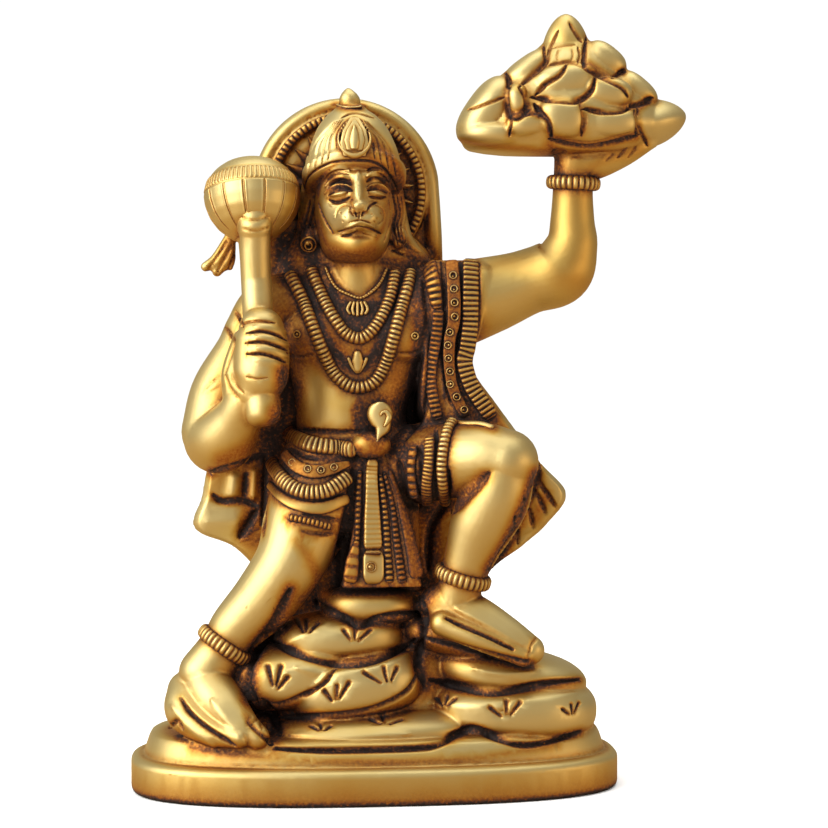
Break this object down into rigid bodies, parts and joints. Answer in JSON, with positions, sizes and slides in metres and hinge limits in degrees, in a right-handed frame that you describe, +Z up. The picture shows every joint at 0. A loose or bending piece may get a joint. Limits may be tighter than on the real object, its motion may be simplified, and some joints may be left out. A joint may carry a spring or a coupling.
{
  "type": "hanuman figure",
  "caption": "Small cast brass idol of the monkey deity striding over rocks on an oval plinth, holding a mace upright and lifting a mountain on the other hand",
  "frame": {"origin": "centre of the plinth's flat underside", "axes": "+Z up, +X to the right as the figure is seen from the front, along the plinth's long side; the figure faces -Y"},
  "size_m": [0.1266, 0.056, 0.178],
  "materials": {
    "antique_brass": "cast brass, high points polished, dark red-brown patina left in the recesses"
  },
  "bodies": {
    "root": {"hanuman_figure": "antique_brass"}
  },
  "joints": []
}
